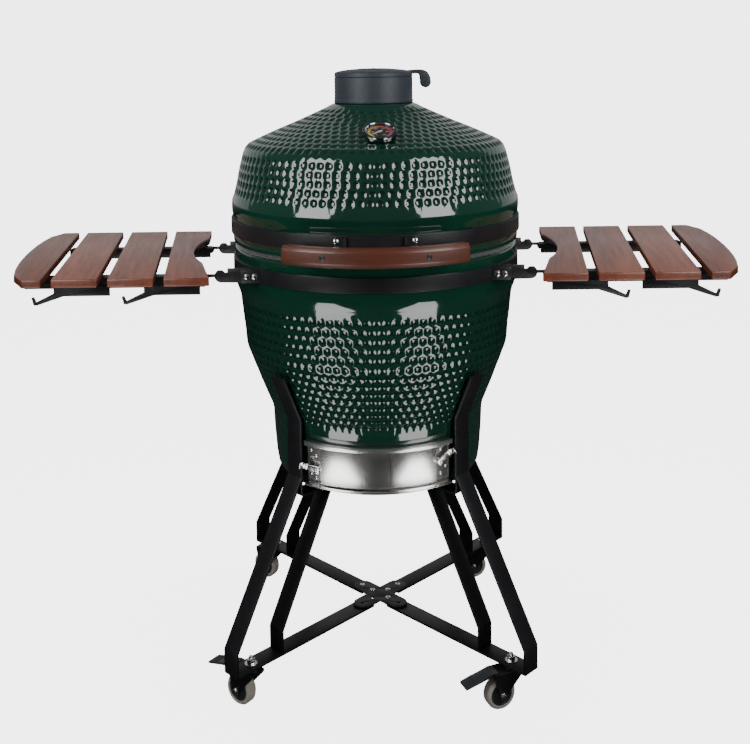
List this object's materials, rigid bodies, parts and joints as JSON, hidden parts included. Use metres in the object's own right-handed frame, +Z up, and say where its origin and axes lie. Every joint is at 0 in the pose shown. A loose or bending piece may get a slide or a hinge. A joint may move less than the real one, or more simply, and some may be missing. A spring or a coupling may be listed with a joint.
{
  "type": "kamado grill",
  "caption": "Egg-shaped ceramic kamado grill with a hinged dome lid, top vent, draft door and folding slatted side shelves, on a four-legged steel stand with casters.",
  "frame": {"origin": "on the ground, at the middle of the bounding box, which is also where the ceramic body's axis meets the ground", "axes": "+Z up along the ceramic body's axis, +X to the right along the two side shelves when facing the draft door, +Y away from the person in front, towards the lid hinge"},
  "size_m": [1.5194, 0.75, 1.247],
  "materials": {
    "green_glaze": "deep green glossy glaze, pressed all over with small round dimples",
    "fired_clay": "bare fired clay, matt",
    "stained_wood": "reddish brown stain with a satin varnish",
    "black_steel": "black powder coat, satin",
    "cast_metal": "blue-grey heat-proof paint on a casting, satin",
    "cast_iron": "seasoned black cast iron",
    "stainless": "brushed stainless sheet",
    "bright_chrome": "bright plating",
    "felt": "dark heat-proof felt",
    "pale_rubber": "pale grey tyre on a dark grey hub",
    "needle_paint": "off-white paint",
    "clear_glass": "clear flat glass"
  },
  "bodies": {
    "stand_and_base": {"base_shell": "green_glaze", "charcoal_grate": "cast_iron", "cooking_grate": "cast_iron", "cross_plate": "black_steel", "draft_frame": "stainless", "fire_box": "fired_clay", "fire_ring": "fired_clay", "hinge_lower_bracket": "black_steel", "hinge_pin": "bright_chrome", "hinge_spring_left": "bright_chrome", "hinge_spring_right": "bright_chrome", "leg_back_left": "black_steel", "leg_back_right": "black_steel", "leg_front_left": "black_steel", "leg_front_right": "black_steel", "lower_band": "black_steel", "lower_gasket": "felt", "shelf_bracket_back_left": "black_steel", "shelf_bracket_back_right": "black_steel", "shelf_bracket_front_left": "black_steel", "shelf_bracket_front_right": "black_steel", "stand_ring": "black_steel"},
    "lid": {"dome_lid": "green_glaze", "upper_gasket": "felt", "upper_band": "black_steel", "hinge_upper_bracket": "black_steel", "handle_bracket_left": "black_steel", "handle_bracket_right": "black_steel", "handle_grip": "stained_wood", "vent_body": "cast_metal", "thermometer_case": "bright_chrome", "thermometer_lens": "clear_glass"},
    "vent_cap": {"vent_cap": "cast_metal"},
    "needle": {"thermometer_needle": "needle_paint"},
    "outer_draft_door": {"draft_door": "stainless"},
    "inner_draft_door": {"draft_inner_door": "stainless"},
    "latch_left": {"draft_latch_left": "stainless"},
    "latch_right": {"draft_latch_right": "stainless"},
    "shelf_left": {"shelf_board_left_1": "stained_wood", "shelf_board_left_2": "stained_wood", "shelf_board_left_3": "stained_wood", "shelf_board_left_4": "stained_wood", "shelf_rail_front_left": "black_steel", "shelf_rail_back_left": "black_steel"},
    "shelf_right": {"shelf_board_right_1": "stained_wood", "shelf_board_right_2": "stained_wood", "shelf_board_right_3": "stained_wood", "shelf_board_right_4": "stained_wood", "shelf_rail_front_right": "black_steel", "shelf_rail_back_right": "black_steel"},
    "fork_front_left": {"caster_fork_front_left": "black_steel"},
    "wheel_front_left": {"caster_wheel_front_left": "pale_rubber"},
    "pedal_left": {"brake_pedal_left": "black_steel"},
    "fork_front_right": {"caster_fork_front_right": "black_steel"},
    "wheel_front_right": {"caster_wheel_front_right": "pale_rubber"},
    "pedal_right": {"brake_pedal_right": "black_steel"},
    "fork_back_left": {"caster_fork_back_left": "black_steel"},
    "wheel_back_left": {"caster_wheel_back_left": "pale_rubber"},
    "fork_back_right": {"caster_fork_back_right": "black_steel"},
    "wheel_back_right": {"caster_wheel_back_right": "pale_rubber"}
  },
  "joints": [
    {"name": "lid_hinge", "type": "hinge", "parent": "stand_and_base", "child": "lid", "pos_m": [0, 0.357, 0.8845], "axis": [-1, 0, 0], "range_deg": [0, 70]},
    {"name": "vent_cap_turn", "type": "hinge", "parent": "lid", "child": "vent_cap", "pos_m": [0, 0, 1.2285], "axis": [0, 0, 1], "range_deg": [0, 90]},
    {"name": "needle_turn", "type": "hinge", "parent": "lid", "child": "needle", "pos_m": [0.01117, -0.21315, 1.12498], "axis": [0.0213, -0.4062, 0.9135], "range_deg": [-250, 0]},
    {"name": "draft_door_slide", "type": "hinge", "parent": "stand_and_base", "child": "outer_draft_door", "pos_m": [0, 0, 0.46], "axis": [0, 0, 1], "range_deg": [0, 20]},
    {"name": "inner_door_slide", "type": "hinge", "parent": "stand_and_base", "child": "inner_draft_door", "pos_m": [0, 0, 0.46], "axis": [0, 0, 1], "range_deg": [-20, 0]},
    {"name": "latch_left_turn", "type": "hinge", "parent": "stand_and_base", "child": "latch_left", "pos_m": [-0.12426, -0.2004, 0.453], "axis": [-0.527, -0.8499, 0], "range_deg": [-50, 0]},
    {"name": "latch_right_turn", "type": "hinge", "parent": "stand_and_base", "child": "latch_right", "pos_m": [0.12426, -0.2004, 0.468], "axis": [0.527, -0.8499, 0], "range_deg": [0, 50]},
    {"name": "shelf_left_fold", "type": "hinge", "parent": "stand_and_base", "child": "shelf_left", "pos_m": [-0.30556, -0.186, 0.843], "axis": [0.1196, -0.9928, 0], "range_deg": [0, 90]},
    {"name": "shelf_right_fold", "type": "hinge", "parent": "stand_and_base", "child": "shelf_right", "pos_m": [0.30556, -0.186, 0.843], "axis": [0.1196, 0.9928, 0], "range_deg": [0, 90]},
    {"name": "swivel_front_left", "type": "hinge", "parent": "stand_and_base", "child": "fork_front_left", "pos_m": [-0.25456, -0.25456, 0.0837], "axis": [0, 0, 1], "continuous": true},
    {"name": "roll_front_left", "type": "hinge", "parent": "fork_front_left", "child": "wheel_front_left", "pos_m": [-0.27612, -0.23831, 0.031], "axis": [-0.6018, -0.7986, 0], "continuous": true},
    {"name": "brake_pedal_left_press", "type": "hinge", "parent": "fork_front_left", "child": "pedal_left", "pos_m": [-0.29449, -0.22447, 0.0742], "axis": [-0.6018, -0.7986, 0], "range_deg": [0, 10]},
    {"name": "swivel_front_right", "type": "hinge", "parent": "stand_and_base", "child": "fork_front_right", "pos_m": [0.25456, -0.25456, 0.0837], "axis": [0, 0, 1], "continuous": true},
    {"name": "roll_front_right", "type": "hinge", "parent": "fork_front_right", "child": "wheel_front_right", "pos_m": [0.22952, -0.26467, 0.031], "axis": [0.3746, -0.9272, 0], "continuous": true},
    {"name": "brake_pedal_right_press", "type": "hinge", "parent": "fork_front_right", "child": "pedal_right", "pos_m": [0.2082, -0.27329, 0.0742], "axis": [0.3746, -0.9272, 0], "range_deg": [0, 10]},
    {"name": "swivel_back_left", "type": "hinge", "parent": "stand_and_base", "child": "fork_back_left", "pos_m": [-0.25456, 0.25456, 0.0837], "axis": [0, 0, 1], "continuous": true},
    {"name": "roll_back_left", "type": "hinge", "parent": "fork_back_left", "child": "wheel_back_left", "pos_m": [-0.27794, 0.26806, 0.031], "axis": [-0.5, -0.866, 0], "continuous": true},
    {"name": "swivel_back_right", "type": "hinge", "parent": "stand_and_base", "child": "fork_back_right", "pos_m": [0.25456, 0.25456, 0.0837], "axis": [0, 0, 1], "continuous": true},
    {"name": "roll_back_right", "type": "hinge", "parent": "fork_back_right", "child": "wheel_back_right", "pos_m": [0.22766, 0.25221, 0.031], "axis": [0.0872, -0.9962, 0], "continuous": true}
  ]
}
